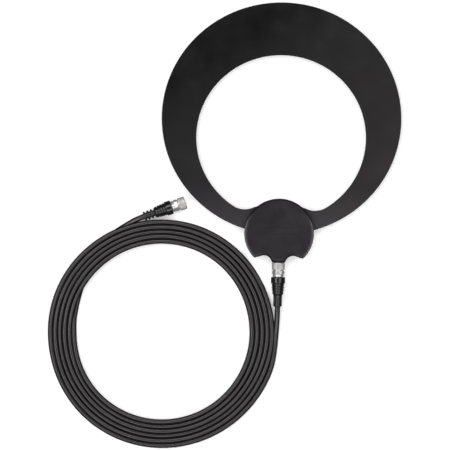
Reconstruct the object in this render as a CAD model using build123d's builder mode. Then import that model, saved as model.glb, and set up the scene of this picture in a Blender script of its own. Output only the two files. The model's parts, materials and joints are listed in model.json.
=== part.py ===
from build123d import *
from math import acos, atan2, cos, degrees, pi, radians, sin, tan
import os

# Flat loop television antenna lying face up, with its coiled coaxial lead screwed on.
# Millimetres.  +Z is up through the hub, +Y runs from the jack to the far side of the loop,
# and the origin is under the middle of the antenna, on the surface that it lies on.

# loop sheet: a crescent between two ovals, wide at the far side and narrow at the hub
LOOP_HALF_WIDTH = 119.8
LOOP_HALF_HEIGHT = 116.0
HOLE_HALF_WIDTH = 84.8
HOLE_HALF_HEIGHT = 82.5
HOLE_DROP = 19.2  # from the sheet's centre down to the hole's centre
SHOULDER_HALF_WIDTH = 46.8  # where the hole's oval turns into the hub's shoulders
SHOULDER_LOW = (36.6, -91.5)  # lowest point of a shoulder's edge, from the sheet's centre
SHOULDER_END = (26.0, -89.4)
BRIDGE_CORNER = (15.0, -85.8)  # the sheet's edge under the hub
BACK_SKIN = 0.9
FOIL = 0.1
FRONT_SKIN = 0.5
FOIL_MARGIN = 3.0  # plain border round the foil
FEED_GAP = 4.0

# clearances
RUNNING = 0.05  # of one piece of the connector inside another
PUSH = 0.02  # of a pressed piece
PLAY = 0.1  # of the housing round what it holds

# hub housing
HUB_DROP = 115.0  # from the sheet's centre down to the hub's centre
HUB_RADIUS = 34.75
HUB_BACK = 0.4
HUB_TOP = 14.0
WALL = 1.8
FLOOR = 1.6
FACE_ROUND = 1.8
BACK_ROUND = 1.0
NECK_DROP = 144.0
NECK_HALF_WIDTH = 6.3
NOTCH_RADIUS = 7.9
NOTCH_CENTRE = (14.6, -145.0)
NOTCH_START = 164.0  # degrees, where a notch's arc meets the neck
EAR_POINT = (24.3, -140.0)
EAR_ROUND = 2.4
EAR_FROM = 22.0  # of the outline's corners, only the ears lie further out than this
BADGE_LENGTH = 44.0  # plain engraved outline of a blank name plate
BADGE_WIDTH = 6.4
BADGE_LINE = 0.7
BADGE_DEPTH = 0.3
BADGE_DROP = 112.3

# grip pad, screws and their bosses
PAD = 1.0
PAD_INSET = 3.4
PAD_RECESS = 0.6
SCREW_SEATS = [(24.0, -101.0), (-24.0, -101.0), (21.5, -129.5), (-21.5, -129.5)]
SCREW_RADIUS = 1.1
SCREW_LENGTH = 7.6
HEAD_RADIUS = 2.0
HEAD_HEIGHT = 1.4
HEAD_SEAT = 2.8
BOSS_RADIUS = 2.8
BOSS_END = 4.5
PILLAR_RADIUS = 3.4
SHEET_HOLE = 3.0
FOIL_HOLE = 4.0
DRIVE_LENGTH = 2.2  # cross recess in a screw's head
DRIVE_WIDTH = 0.5
RIB_X = 12.0  # two ribs that hold the board up
RIB_DROP = 124.0
RIB_LENGTH = 24.0
RIB_WIDTH = 1.2

# balun board and what stands on it
BOARD = 1.2
BOARD_HALF_WIDTH = 15.0
BOARD_NEAR = 134.8
BOARD_TONGUE_END = 138.6
BOARD_TONGUE_HALF_WIDTH = 6.6
BOARD_FAR = 104.0
RIVET_SEATS = [(6.0, -108.0), (-6.0, -108.0)]
RIVET_RADIUS = 1.2
RIVET_BORE = 0.7
RIVET_HEAD = 2.2
RIVET_FLANGE = 0.5
CORE_SIZE = (9.0, 6.5, 5.0)
CORE_DROP = 122.0
CORE_HOLE = 1.3
CORE_HOLE_X = 2.2
CORE_ROUND = 1.2
WIRE = 0.5
WIRE_BEND = 0.8
WIRE_OFFSET = 0.45  # of each winding from the holes' axis
WIRE_LOOP = 1.0  # past the core where a winding turns back
WIRE_REACHES = (2.0, 2.6)  # past the core where a winding's ends come down
CHIP_SIZE = (2.0, 1.25, 0.7)
CHIP_SEATS = [(-9.5, -120.0), (9.5, -120.0), (9.5, -126.0)]

# threaded jack, 3/8-32: the crests of its thread as a plain cylinder
CONNECTOR_Z = 7.2
JACK_RADIUS = 4.75
JACK_BORE = 3.2
JACK_FACE_DROP = 151.9
FLANGE_DROP = 141.8  # front face of the jack's flange, inside the neck
FLANGE_SIZE = (12.6, 2.0, 10.2)
JACK_CHAMFER = 0.4
JACK_LEG = 7.2  # four legs on the flange, two on each side of the board
JACK_LEG_X = 5.4
JACK_LEG_WIDTH = 1.2
JACK_LEG_HEIGHT = 2.0
INSULATOR_SINK = 0.3  # behind the jack's face
CONTACT_SINK = 0.7
CONTACT_RADIUS = 0.9
CONTACT_TAIL = (1.2, 6.0, 1.0)
SOCKET_RADIUS = 0.55
SOCKET_START = 2.4

# plug: distances along its axis from the coupling nut's mouth towards the cable
NUT_RADIUS = 6.4
NUT_KNURL_END = 8.2
NUT_HEX = 11.0
NUT_BACK = 14.1
NUT_GAP = 0.3  # from the neck to the nut's mouth, screwed home
NUT_BORE = 4.80
THREAD_DEPTH = 8.6
SHOULDER_BORE = 3.6
SHOULDER_BACK = 10.7
SKIRT_BORE = 4.3
KNURLS = 36
KNURL_RADIUS = 0.28
KNURL_MARGIN = 1.1  # plain band at each end of the knurl
BEVEL = 0.5  # on the edges of the nut and the boot's collar
POST_FACE = 7.6
POST_FLANGE = 4.6
POST_FLANGE_BACK = 8.6
POST_RADIUS = 2.4
POST_BORE = 1.75
POST_END = 16.5
FERRULE_RADIUS = 3.5
FERRULE_END = 24.0
CORE_END = 17.0
PIN_RADIUS = 0.5
PIN_TIP = 0.4
PIN_BEVEL = 0.2
CONDUCTOR_RADIUS = 0.25  # the cable's own centre wire, behind the pin
BOOT_FACE = 14.4
BOOT_END = 43.8
COLLAR_RADIUS = 6.9
COLLAR_END = 20.8
BARREL_RADIUS = 5.9
BARREL_END = 31.3
TAIL_START = 32.7
TAIL_LOW = 3.7
TAIL_HIGH = 4.3
GROOVE = 0.6  # depth of the barrel's grooves
BARREL_RINGS = 4
TAIL_RINGS = 4
RING_LOW_END = 0.3  # where a groove ends, as a share of the rings' pitch
RING_HIGH_START = 0.45

# coaxial lead
CABLE = 5.4
COIL_CENTRE = (-114.8, -217.4)
COIL_OUTER = 114.2
COIL_INNER = 86.6
COIL_HEIGHT = 8.1
COIL_ROUND = 2.4
HUMP_HEIGHT = 13.6  # where the turns ride over the lead's inner end
HUMP_INSET = 3.2
HUMP_MIDDLE = 228.0  # degrees clockwise from +X, seen from above
HUMP_HALF_TOP = 46.0
HUMP_HALF_FOOT = 80.0
PLUG_B_TAIL = (-135.4, -100.9)
PLUG_B_TURN = 19.9  # degrees, from +X to the way plug B points
PLUG_B_Z = 6.95
IN_BOOT = 5.6  # how far the cable runs on inside a boot
ARC_SHARE = 0.45  # of a route's shorter run that a corner's arc takes up

# worked out
sheet_y = (JACK_FACE_DROP - LOOP_HALF_HEIGHT) / 2
sheet_back = CONNECTOR_Z - (BACK_SKIN + FOIL + FRONT_SKIN) / 2
foil_back = sheet_back + BACK_SKIN
sheet_front = foil_back + FOIL + FRONT_SKIN
floor_z = HUB_BACK + FLOOR
ceiling_z = HUB_TOP - FLOOR
board_top = sheet_back
board_back = board_top - BOARD
core_z = board_top + CORE_SIZE[2] / 2
cable_radius = CABLE / 2


def placed(x, y, z=None):
    """A point given from the loop sheet's centre, in the part's frame."""
    return (x, sheet_y + y) if z is None else (x, sheet_y + y, z)


hub_centre = placed(0, -HUB_DROP)
neck_y = sheet_y - NECK_DROP
flange_y = sheet_y - FLANGE_DROP
jack_face_y = sheet_y - JACK_FACE_DROP
screw_seats = [placed(*seat) for seat in SCREW_SEATS]
rivet_seats = [placed(*seat) for seat in RIVET_SEATS]

os.makedirs("parts", exist_ok=True)


def finish(piece, label):
    """Name a finished piece and write its file."""
    piece.part.label = label
    export_step(piece.part, f"parts/{label}.step")


# ---------------------------------------------------------------- loop sheet


def loop_outline(level, margin, hole_radius):
    """The sheet's face at a height, drawn in from its edges by a margin."""
    low = SHOULDER_HALF_WIDTH / (HOLE_HALF_WIDTH + margin)
    with BuildSketch(Plane.XY.offset(level)) as outline:
        with Locations(placed(0, 0)):
            Ellipse(LOOP_HALF_WIDTH - margin, LOOP_HALF_HEIGHT - margin)
        with BuildLine():
            side = EllipticalCenterArc(
                placed(0, -HOLE_DROP),
                HOLE_HALF_WIDTH + margin,
                HOLE_HALF_HEIGHT + margin,
                start_angle=-degrees(acos(low)),
                arc_size=90 + degrees(acos(low)),
            )
            end = placed(SHOULDER_END[0], SHOULDER_END[1] - margin)
            ThreePointArc(side @ 0, placed(SHOULDER_LOW[0], SHOULDER_LOW[1] - margin), end)
            corner = placed(BRIDGE_CORNER[0], BRIDGE_CORNER[1] - margin)
            Polyline(end, corner, (0, corner[1]))
            mirror(about=Plane.YZ)
        make_face(mode=Mode.SUBTRACT)
        with Locations(*screw_seats[:2]):
            Circle(hole_radius, mode=Mode.SUBTRACT)
        with Locations(*rivet_seats):
            Circle(RIVET_RADIUS + RUNNING, mode=Mode.SUBTRACT)
    return outline.sketch


with BuildPart() as back_skin:
    extrude(loop_outline(sheet_back, 0, SHEET_HOLE), amount=BACK_SKIN)
finish(back_skin, "loop_back_skin")

with BuildPart() as foil:
    extrude(loop_outline(foil_back, FOIL_MARGIN, FOIL_HOLE), amount=FOIL)
    with BuildSketch(Plane.XY.offset(foil_back)):
        with Locations(placed(0, -LOOP_HALF_HEIGHT / 2)):
            Rectangle(FEED_GAP, LOOP_HALF_HEIGHT)
    extrude(amount=FOIL, mode=Mode.SUBTRACT)
finish(foil, "loop_foil")

with BuildPart() as front_skin:
    extrude(loop_outline(foil_back + FOIL, 0, SHEET_HOLE), amount=FRONT_SKIN)
finish(front_skin, "loop_front_skin")

with BuildPart() as rivets:
    with BuildSketch(Plane.XY.offset(board_back - RIVET_FLANGE)):
        with Locations(*rivet_seats):
            Circle(RIVET_HEAD)
    extrude(amount=RIVET_FLANGE)
    with BuildSketch(Plane.XY.offset(board_back)):
        with Locations(*rivet_seats):
            Circle(RIVET_RADIUS)
    extrude(amount=sheet_front - board_back)
    with BuildSketch(Plane.XY.offset(sheet_front)):
        with Locations(*rivet_seats):
            Circle(RIVET_HEAD)
    extrude(amount=RIVET_FLANGE)
    with BuildSketch(Plane.XY.offset(board_back - RIVET_FLANGE)):
        with Locations(*rivet_seats):
            Circle(RIVET_BORE)
    extrude(amount=sheet_front - board_back + 2 * RIVET_FLANGE, mode=Mode.SUBTRACT)
finish(rivets, "feed_rivets")

# ------------------------------------------------------------------- housing


def hub_outline(level, inset=0.0):
    """The hub's face at a height: a disc with a neck between two finger notches."""
    centre = Vector(*placed(*NOTCH_CENTRE))
    to_ear = Vector(*placed(*EAR_POINT)) - centre
    ear_turn = degrees(atan2(to_ear.Y, to_ear.X))
    tangent_turn = ear_turn + degrees(acos(NOTCH_RADIUS / to_ear.length))
    ear = placed(*EAR_POINT)
    ear_angle = degrees(atan2(ear[1] - hub_centre[1], ear[0]))
    with BuildSketch(Plane.XY.offset(level)) as outline:
        with BuildLine():
            rim = CenterArc(hub_centre, HUB_RADIUS, ear_angle, 90 - ear_angle)
            notch = CenterArc(
                centre, NOTCH_RADIUS, NOTCH_START, tangent_turn - NOTCH_START
            )
            Line(notch @ 1, rim @ 0)
            Polyline(notch @ 0, (NECK_HALF_WIDTH, neck_y), (0, neck_y))
            mirror(about=Plane.YZ)
        make_face()
        outer = outline.vertices().filter_by(lambda v: abs(v.X) > EAR_FROM)
        fillet([v for v in outer if v.Y < hub_centre[1]], radius=EAR_ROUND)
        if inset:
            offset(amount=-inset, kind=Kind.INTERSECTION, mode=Mode.REPLACE)
    return outline.sketch


def jack_passage():
    """Open a cover for the jack's barrel and for the flange behind it."""
    with BuildSketch(Plane((0, neck_y, CONNECTOR_Z), x_dir=(1, 0, 0), z_dir=(0, 1, 0))) as hole:
        Circle(JACK_RADIUS + RUNNING)
    extrude(hole.sketch, amount=flange_y - neck_y, mode=Mode.SUBTRACT)
    with BuildSketch(Plane.XY.offset(floor_z)) as pocket:
        with Locations((0, flange_y + FLANGE_SIZE[1] / 2 + RUNNING)):
            Rectangle(FLANGE_SIZE[0] + 2 * PLAY, FLANGE_SIZE[1] + 2 * RUNNING)
    extrude(pocket.sketch, amount=ceiling_z - floor_z, mode=Mode.SUBTRACT)


with BuildPart() as front_cover:
    extrude(hub_outline(CONNECTOR_Z), amount=HUB_TOP - CONNECTOR_Z)
    fillet(front_cover.faces().sort_by(Axis.Z)[-1].edges(), radius=FACE_ROUND)
    extrude(
        hub_outline(CONNECTOR_Z, WALL), amount=ceiling_z - CONNECTOR_Z, mode=Mode.SUBTRACT
    )
    jack_passage()
    extrude(
        loop_outline(CONNECTOR_Z, 0, SHEET_HOLE),
        amount=sheet_front - CONNECTOR_Z,
        mode=Mode.SUBTRACT,
    )
    with BuildSketch(Plane.XY.offset(BOSS_END)):
        with Locations(*screw_seats):
            Circle(BOSS_RADIUS)
    extrude(amount=ceiling_z - BOSS_END)
    with BuildSketch(Plane.XY.offset(BOSS_END)):
        with Locations(*screw_seats):
            Circle(SCREW_RADIUS)
    extrude(amount=HEAD_SEAT + SCREW_LENGTH + PLAY - BOSS_END, mode=Mode.SUBTRACT)
    with BuildSketch(Plane.XY.offset(HUB_TOP - BADGE_DEPTH)):
        with Locations(placed(0, -BADGE_DROP)):
            SlotOverall(BADGE_LENGTH, BADGE_WIDTH)
            SlotOverall(
                BADGE_LENGTH - 2 * BADGE_LINE, BADGE_WIDTH - 2 * BADGE_LINE, mode=Mode.SUBTRACT
            )
    extrude(amount=BADGE_DEPTH, mode=Mode.SUBTRACT)
finish(front_cover, "front_cover")

with BuildPart() as rear_cover:
    extrude(hub_outline(HUB_BACK), amount=CONNECTOR_Z - HUB_BACK)
    fillet(rear_cover.faces().sort_by(Axis.Z)[0].edges(), radius=BACK_ROUND)
    extrude(hub_outline(floor_z, WALL), amount=CONNECTOR_Z - floor_z, mode=Mode.SUBTRACT)
    extrude(
        hub_outline(HUB_BACK, PAD_INSET - PLAY), amount=PAD_RECESS, mode=Mode.SUBTRACT
    )
    jack_passage()
    extrude(
        loop_outline(sheet_back, 0, SHEET_HOLE),
        amount=CONNECTOR_Z - sheet_back,
        mode=Mode.SUBTRACT,
    )
    with BuildSketch(Plane.XY.offset(floor_z)):
        with Locations(*screw_seats):
            Circle(PILLAR_RADIUS)
    extrude(amount=BOSS_END - RUNNING - floor_z)
    with BuildSketch(Plane.XY.offset(floor_z)):
        with Locations(placed(-RIB_X, -RIB_DROP), placed(RIB_X, -RIB_DROP)):
            Rectangle(RIB_WIDTH, RIB_LENGTH)
    extrude(amount=board_back - floor_z)
    with BuildSketch(Plane.XY.offset(HUB_BACK)):
        with Locations(*screw_seats):
            Circle(HEAD_RADIUS + PLAY)
    extrude(amount=HEAD_SEAT - HUB_BACK, mode=Mode.SUBTRACT)
    with BuildSketch(Plane.XY.offset(HEAD_SEAT)):
        with Locations(*screw_seats):
            Circle(SCREW_RADIUS + PLAY)
    extrude(amount=BOSS_END - HEAD_SEAT, mode=Mode.SUBTRACT)
finish(rear_cover, "rear_cover")

with BuildPart() as grip_pad:
    extrude(hub_outline(0, PAD_INSET), amount=PAD)
finish(grip_pad, "rear_grip_pad")

with BuildPart() as screws:
    with BuildSketch(Plane.XY.offset(HEAD_SEAT - HEAD_HEIGHT)):
        with Locations(*screw_seats):
            Circle(HEAD_RADIUS)
    extrude(amount=HEAD_HEIGHT)
    with BuildSketch(Plane.XY.offset(HEAD_SEAT)):
        with Locations(*screw_seats):
            Circle(SCREW_RADIUS)
    extrude(amount=SCREW_LENGTH)
    with BuildSketch(Plane.XY.offset(HEAD_SEAT - HEAD_HEIGHT)):
        with Locations(*screw_seats):
            Rectangle(DRIVE_LENGTH, DRIVE_WIDTH)
            Rectangle(DRIVE_WIDTH, DRIVE_LENGTH)
    extrude(amount=HEAD_HEIGHT / 2, mode=Mode.SUBTRACT)
finish(screws, "cover_screws")

# --------------------------------------------------------------------- balun

with BuildPart() as board:
    with BuildSketch(Plane.XY.offset(board_back)):
        with Locations(placed(0, -(BOARD_NEAR + BOARD_FAR) / 2)):
            Rectangle(2 * BOARD_HALF_WIDTH, BOARD_NEAR - BOARD_FAR)
        with Locations(placed(0, -(BOARD_TONGUE_END + BOARD_FAR) / 2)):
            Rectangle(2 * BOARD_TONGUE_HALF_WIDTH, BOARD_TONGUE_END - BOARD_FAR)
        with Locations(*rivet_seats):
            Circle(RIVET_RADIUS + RUNNING, mode=Mode.SUBTRACT)
    extrude(amount=BOARD)
finish(board, "balun_board")

core_back = Plane(
    placed(0, -CORE_DROP - CORE_SIZE[1] / 2, core_z), x_dir=(1, 0, 0), z_dir=(0, -1, 0)
)
with BuildPart() as core:
    with BuildSketch(core_back):
        RectangleRounded(CORE_SIZE[0], CORE_SIZE[2], CORE_ROUND)
        with Locations((-CORE_HOLE_X, 0), (CORE_HOLE_X, 0)):
            Circle(CORE_HOLE, mode=Mode.SUBTRACT)
    extrude(amount=-CORE_SIZE[1])
finish(core, "balun_core")


def winding(height, reach, toward):
    """One wire through both holes of the core, its two ends down on the board."""
    near = -CORE_DROP - toward * (CORE_SIZE[1] / 2 + WIRE_LOOP)
    far = -CORE_DROP + toward * (CORE_SIZE[1] / 2 + reach)
    foot = board_top + WIRE / 2
    corners = [
        placed(-CORE_HOLE_X, far, foot),
        placed(-CORE_HOLE_X, far, height),
        placed(-CORE_HOLE_X, near, height),
        placed(CORE_HOLE_X, near, height),
        placed(CORE_HOLE_X, far, height),
        placed(CORE_HOLE_X, far, foot),
    ]
    with BuildLine() as route:
        FilletPolyline(*corners, radius=WIRE_BEND)
    with BuildSketch(Plane(route.line @ 0, z_dir=route.line % 0)) as section:
        Circle(WIRE / 2)
    sweep(section.sketch, path=route.line)


with BuildPart() as windings:
    winding(core_z - WIRE_OFFSET, WIRE_REACHES[0], 1)
    winding(core_z + WIRE_OFFSET, WIRE_REACHES[1], -1)
finish(windings, "balun_windings")

with BuildPart() as chips:
    with BuildSketch(Plane.XY.offset(board_top)):
        with Locations(*[placed(*seat) for seat in CHIP_SEATS]):
            Rectangle(CHIP_SIZE[0], CHIP_SIZE[1])
    extrude(amount=CHIP_SIZE[2])
finish(chips, "chip_components")

# ---------------------------------------------------------------------- jack


def lathe(seat):
    """The plane whose X is the distance from a seat's axis and whose Y runs along it."""
    return Plane(seat.origin, x_dir=seat.x_dir, z_dir=-seat.y_dir)


def turn(seat, outline, mode=Mode.ADD):
    """Revolve a closed outline of (radius, distance) points about a seat's axis."""
    with BuildSketch(lathe(seat)) as profile:
        with BuildLine():
            Polyline(*outline, close=True)
        make_face()
    revolve(profile.sketch, axis=Axis(seat.origin, seat.z_dir), mode=mode)


def ring(inner, outer, start, end):
    """The outline of a plain tube."""
    return [(inner, start), (outer, start), (outer, end), (inner, end)]


jack_seat = Plane((0, flange_y, CONNECTOR_Z), x_dir=(0, 0, 1), z_dir=(0, -1, 0))
barrel_length = flange_y - jack_face_y
jack_back = -FLANGE_SIZE[1]
leg_y = flange_y + FLANGE_SIZE[1] + JACK_LEG / 2
with BuildPart() as jack:
    with BuildSketch(jack_seat):
        Rectangle(FLANGE_SIZE[2], FLANGE_SIZE[0])
    extrude(amount=jack_back)
    turn(
        jack_seat,
        [
            (0, 0),
            (JACK_RADIUS, 0),
            (JACK_RADIUS, barrel_length - JACK_CHAMFER),
            (JACK_RADIUS - JACK_CHAMFER, barrel_length),
            (0, barrel_length),
        ],
    )
    for leg_back in (board_top, board_back - JACK_LEG_HEIGHT):
        with BuildSketch(Plane.XY.offset(leg_back)):
            with Locations((-JACK_LEG_X, leg_y), (JACK_LEG_X, leg_y)):
                Rectangle(JACK_LEG_WIDTH, JACK_LEG)
        extrude(amount=JACK_LEG_HEIGHT)
    turn(jack_seat, ring(0, JACK_BORE, jack_back, barrel_length), mode=Mode.SUBTRACT)
finish(jack, "jack_body")

with BuildPart() as insulator:
    turn(
        jack_seat,
        [
            (CONTACT_RADIUS + PUSH, jack_back),
            (JACK_BORE - PUSH, jack_back),
            (JACK_BORE - PUSH, barrel_length - INSULATOR_SINK),
            (CONTACT_RADIUS + PUSH, barrel_length - INSULATOR_SINK),
        ],
    )
finish(insulator, "jack_insulator")

with BuildPart() as contact:
    contact_end = barrel_length - CONTACT_SINK
    turn(jack_seat, ring(0, CONTACT_RADIUS, jack_back, contact_end))
    turn(jack_seat, ring(0, SOCKET_RADIUS, SOCKET_START, contact_end), mode=Mode.SUBTRACT)
    with BuildSketch(Plane.XY.offset(board_top)):
        with Locations((0, flange_y + FLANGE_SIZE[1] + CONTACT_TAIL[1] / 2)):
            Rectangle(CONTACT_TAIL[0], CONTACT_TAIL[1])
    extrude(amount=CONTACT_TAIL[2])
finish(contact, "jack_contact")

# --------------------------------------------------------------------- plugs


def rings(start, end, count, low, high):
    """Ring edges between two distances along a boot: (radius, distance) points."""
    step = (end - start) / count
    points = []
    for i in range(count):
        at = start + i * step
        points += [(low, at), (low, at + RING_LOW_END * step)]
        points += [(high, at + RING_HIGH_START * step), (high, at + step)]
    return points


boot_profile = [
    (FERRULE_RADIUS + RUNNING, BOOT_FACE),
    (COLLAR_RADIUS - BEVEL, BOOT_FACE),
    (COLLAR_RADIUS, BOOT_FACE + BEVEL),
    (COLLAR_RADIUS, COLLAR_END - BEVEL),
    (COLLAR_RADIUS - BEVEL, COLLAR_END),
    *rings(COLLAR_END, BARREL_END, BARREL_RINGS, BARREL_RADIUS - GROOVE, BARREL_RADIUS),
    *rings(TAIL_START, BOOT_END, TAIL_RINGS, TAIL_LOW, TAIL_HIGH),
    (cable_radius + RUNNING, BOOT_END),
    (cable_radius + RUNNING, FERRULE_END + PLAY),
    (FERRULE_RADIUS + RUNNING, FERRULE_END + PLAY),
]

plug_b_way = Vector(cos(radians(PLUG_B_TURN)), sin(radians(PLUG_B_TURN)), 0)
plug_b_tail = Vector(*placed(*PLUG_B_TAIL, PLUG_B_Z))
plug_seats = {
    "plug_a": Plane(
        (0, neck_y - NUT_GAP, CONNECTOR_Z), x_dir=(0, 0, 1), z_dir=(0, -1, 0)
    ),
    "plug_b": Plane(plug_b_tail + plug_b_way * BOOT_END, x_dir=(0, 0, 1), z_dir=-plug_b_way),
}

for name, seat in plug_seats.items():
    with BuildPart() as nut:
        turn(
            seat,
            [
                (0, 0),
                (NUT_RADIUS - BEVEL, 0),
                (NUT_RADIUS, BEVEL),
                (NUT_RADIUS, NUT_KNURL_END - BEVEL),
                (NUT_RADIUS - BEVEL, NUT_KNURL_END),
                (0, NUT_KNURL_END),
            ],
        )
        with BuildSketch(seat.offset(KNURL_MARGIN)):
            with PolarLocations(NUT_RADIUS + RUNNING, KNURLS):
                Circle(KNURL_RADIUS)
        extrude(amount=NUT_KNURL_END - 2 * KNURL_MARGIN, mode=Mode.SUBTRACT)
        with BuildSketch(seat.offset(NUT_KNURL_END)):
            RegularPolygon(NUT_HEX / 2, 6, major_radius=False)
        extrude(amount=NUT_BACK - NUT_KNURL_END)
        turn(seat, ring(0, NUT_BORE, 0, THREAD_DEPTH), mode=Mode.SUBTRACT)
        turn(seat, ring(0, SHOULDER_BORE, 0, NUT_BACK), mode=Mode.SUBTRACT)
        turn(seat, ring(0, SKIRT_BORE, SHOULDER_BACK, NUT_BACK), mode=Mode.SUBTRACT)
    finish(nut, f"{name}_nut")

    with BuildPart() as post:
        turn(seat, ring(POST_BORE, POST_FLANGE, POST_FACE, POST_FLANGE_BACK))
        turn(seat, ring(POST_BORE, POST_RADIUS, POST_FLANGE_BACK, POST_END))
    finish(post, f"{name}_post")

    with BuildPart() as ferrule:
        turn(seat, ring(0, FERRULE_RADIUS, POST_FLANGE_BACK, FERRULE_END))
        turn(seat, ring(0, POST_RADIUS + PUSH, 0, FERRULE_END), mode=Mode.SUBTRACT)
        turn(seat, ring(0, cable_radius + RUNNING, CORE_END, FERRULE_END), mode=Mode.SUBTRACT)
    finish(ferrule, f"{name}_ferrule")

    with BuildPart() as dielectric:
        turn(seat, ring(CONDUCTOR_RADIUS + PUSH, POST_BORE - PUSH, POST_FACE, CORE_END))
    finish(dielectric, f"{name}_dielectric")

    with BuildPart() as pin:
        turn(
            seat,
            [
                (0, PIN_TIP),
                (PIN_RADIUS - PIN_BEVEL, PIN_TIP),
                (PIN_RADIUS, PIN_TIP + PIN_BEVEL),
                (PIN_RADIUS, POST_FACE),
                (CONDUCTOR_RADIUS, POST_FACE),
                (CONDUCTOR_RADIUS, CORE_END),
                (0, CORE_END),
            ],
        )
    finish(pin, f"{name}_pin")

    with BuildPart() as boot:
        turn(seat, boot_profile)
    finish(boot, f"{name}_boot")

# ---------------------------------------------------------------------- lead

boot_a_end = placed(0, -NECK_DROP - NUT_GAP - BOOT_END, CONNECTOR_Z)
lead_a_route = [
    Vector(0, boot_a_end[1] + IN_BOOT, CONNECTOR_Z),
    Vector(0, boot_a_end[1] - 5.2, CONNECTOR_Z),
    Vector(*placed(-0.2, -204.0, 5.4)),
    Vector(*placed(-0.9, -215.5, 3.2)),
    Vector(*placed(-2.2, -228.0, 2.75)),
]
lead_b_route = [
    Vector(*placed(-175.7, -129.0, 2.7)),
    Vector(*placed(-166.4, -118.9, 2.7)),
    Vector(*placed(-152.5, -109.6, 2.9)),
    plug_b_tail - plug_b_way * 6.0,
    plug_b_tail + plug_b_way * IN_BOOT,
]


def bend_radii(route):
    """The largest arc that each corner's two runs have room for."""
    radii = []
    for before, corner, after in zip(route, route[1:], route[2:]):
        run_in = corner - before
        run_out = after - corner
        half_turn = radians(run_in.get_angle(run_out)) / 2
        radii.append(ARC_SHARE * min(run_in.length, run_out.length) / tan(half_turn))
    return radii


for name, route in (("cable_lead_a", lead_a_route), ("cable_lead_b", lead_b_route)):
    radii = bend_radii(route)
    with BuildPart() as lead:
        with BuildLine() as path:
            FilletPolyline(*route, radius=radii)
        with BuildSketch(Plane(path.line @ 0, z_dir=path.line % 0)):
            Circle(cable_radius)
        sweep()
    print(name, "radii", [round(radius) for radius in radii])
    run = path.wire().length
    print(name, "length", round(run, 1))
    print(name, "volume ratio", round(lead.part.volume / (pi * cable_radius**2 * run), 4))
    finish(lead, name)


def coil_ring(inset):
    """The coil's plan: a flat ring, drawn in from its edges by an inset."""
    with BuildSketch() as plan:
        with Locations(placed(*COIL_CENTRE)):
            Circle(COIL_OUTER - inset)
            Circle(COIL_INNER + inset, mode=Mode.SUBTRACT)
    return plan.sketch


hump_turn = radians(-HUMP_MIDDLE)
hump_out = Vector(cos(hump_turn), sin(hump_turn), 0)
hump_side = Plane(
    placed(*COIL_CENTRE, 0), x_dir=Vector(0, 0, 1).cross(hump_out), z_dir=hump_out
)
with BuildPart() as hump:
    extrude(coil_ring(HUMP_INSET), amount=HUMP_HEIGHT)
    with BuildSketch(hump_side):
        with BuildLine():
            Polyline(
                (-HUMP_HALF_FOOT, COIL_HEIGHT / 2),
                (-HUMP_HALF_TOP, HUMP_HEIGHT),
                (HUMP_HALF_TOP, HUMP_HEIGHT),
                (HUMP_HALF_FOOT, COIL_HEIGHT / 2),
                close=True,
            )
        make_face()
    extrude(amount=2 * COIL_OUTER, mode=Mode.INTERSECT)

with BuildPart() as coil:
    extrude(coil_ring(0), amount=COIL_HEIGHT)
    fillet(coil.edges().filter_by(GeomType.CIRCLE), radius=COIL_ROUND)
    add(hump.part)
finish(coil, "cable_coil")
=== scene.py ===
import json
import math

import bmesh
import bpy
from mathutils import Matrix, Vector
from mathutils.kdtree import KDTree


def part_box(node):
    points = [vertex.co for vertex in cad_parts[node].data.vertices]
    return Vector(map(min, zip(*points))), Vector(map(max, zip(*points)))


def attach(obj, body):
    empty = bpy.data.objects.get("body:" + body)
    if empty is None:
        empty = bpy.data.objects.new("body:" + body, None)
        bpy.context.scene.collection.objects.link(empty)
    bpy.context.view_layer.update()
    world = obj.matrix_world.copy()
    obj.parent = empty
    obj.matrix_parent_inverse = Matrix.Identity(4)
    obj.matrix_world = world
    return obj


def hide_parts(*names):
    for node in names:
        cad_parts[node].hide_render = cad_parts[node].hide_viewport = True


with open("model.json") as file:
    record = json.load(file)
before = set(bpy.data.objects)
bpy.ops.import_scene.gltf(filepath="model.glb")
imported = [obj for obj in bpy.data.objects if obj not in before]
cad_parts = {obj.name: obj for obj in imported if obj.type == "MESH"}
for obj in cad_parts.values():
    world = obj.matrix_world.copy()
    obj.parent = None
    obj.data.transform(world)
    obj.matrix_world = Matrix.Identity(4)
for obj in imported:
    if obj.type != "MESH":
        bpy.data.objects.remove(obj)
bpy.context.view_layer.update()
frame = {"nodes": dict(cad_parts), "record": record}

MM = 0.001
sheet_low, sheet_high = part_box("loop_back_skin")
SHEET_Y = (sheet_low.y + sheet_high.y) / 2


def at(x, y, z):
    """A point in millimetres from the loop sheet's centre, in the frame."""
    return Vector((x * MM, SHEET_Y + y * MM, z * MM))


# ------------------------------------------------------------------- camera

FIELD = 0.450  # width of the view at the middle of the object's height
CAMERA_HEIGHT = 2.5  # above the middle of the view
CAMERA_TURN = math.radians(1.25)
VIEW_CENTRE = at(-54.2, -107.7, 7)


def make_camera():
    """A long lens straight above, turned a little so that the head leans."""
    data = bpy.data.cameras.new("camera")
    data.sensor_width = 36
    data.lens = data.sensor_width * CAMERA_HEIGHT / FIELD
    data.clip_end = 100
    camera = bpy.data.objects.new("camera", data)
    camera.location = VIEW_CENTRE + Vector((0, 0, CAMERA_HEIGHT))
    camera.rotation_euler = (0, 0, CAMERA_TURN)
    bpy.context.collection.objects.link(camera)
    bpy.context.scene.camera = camera


make_camera()

# --------------------------------------------------------------------- cord

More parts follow.
